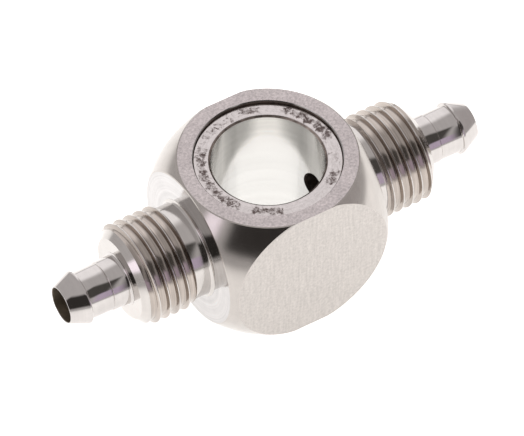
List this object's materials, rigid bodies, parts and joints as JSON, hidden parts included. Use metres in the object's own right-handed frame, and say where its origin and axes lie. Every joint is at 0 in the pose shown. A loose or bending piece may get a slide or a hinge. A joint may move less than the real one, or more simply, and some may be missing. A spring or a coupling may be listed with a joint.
{
  "type": "double banjo ring fitting",
  "caption": "Stainless steel banjo ring with an open bolt bore, recessed seal rings and opposed threaded connectors ending in barbed hose spigots.",
  "frame": {"origin": "where the axis of the bolt bore crosses the axis of the hose connectors, at the middle of the block", "axes": "+X along the hose connectors, towards the right one; +Z along the bolt bore, up; +Y towards the back spanner flat"},
  "size_m": [0.0432, 0.016, 0.0152],
  "materials": {
    "ring_body": "milled and turned stainless steel, matt on the ring faces",
    "connector": "bright turned stainless steel",
    "spigot": "smooth turned stainless steel",
    "seal_ring": "faced stainless steel with dark scuffs"
  },
  "bodies": {
    "root": {"ring_body": "ring_body", "left_connector": "connector", "right_connector": "connector", "left_spigot": "spigot", "right_spigot": "spigot", "upper_seal_ring": "seal_ring", "lower_seal_ring": "seal_ring"}
  },
  "joints": []
}
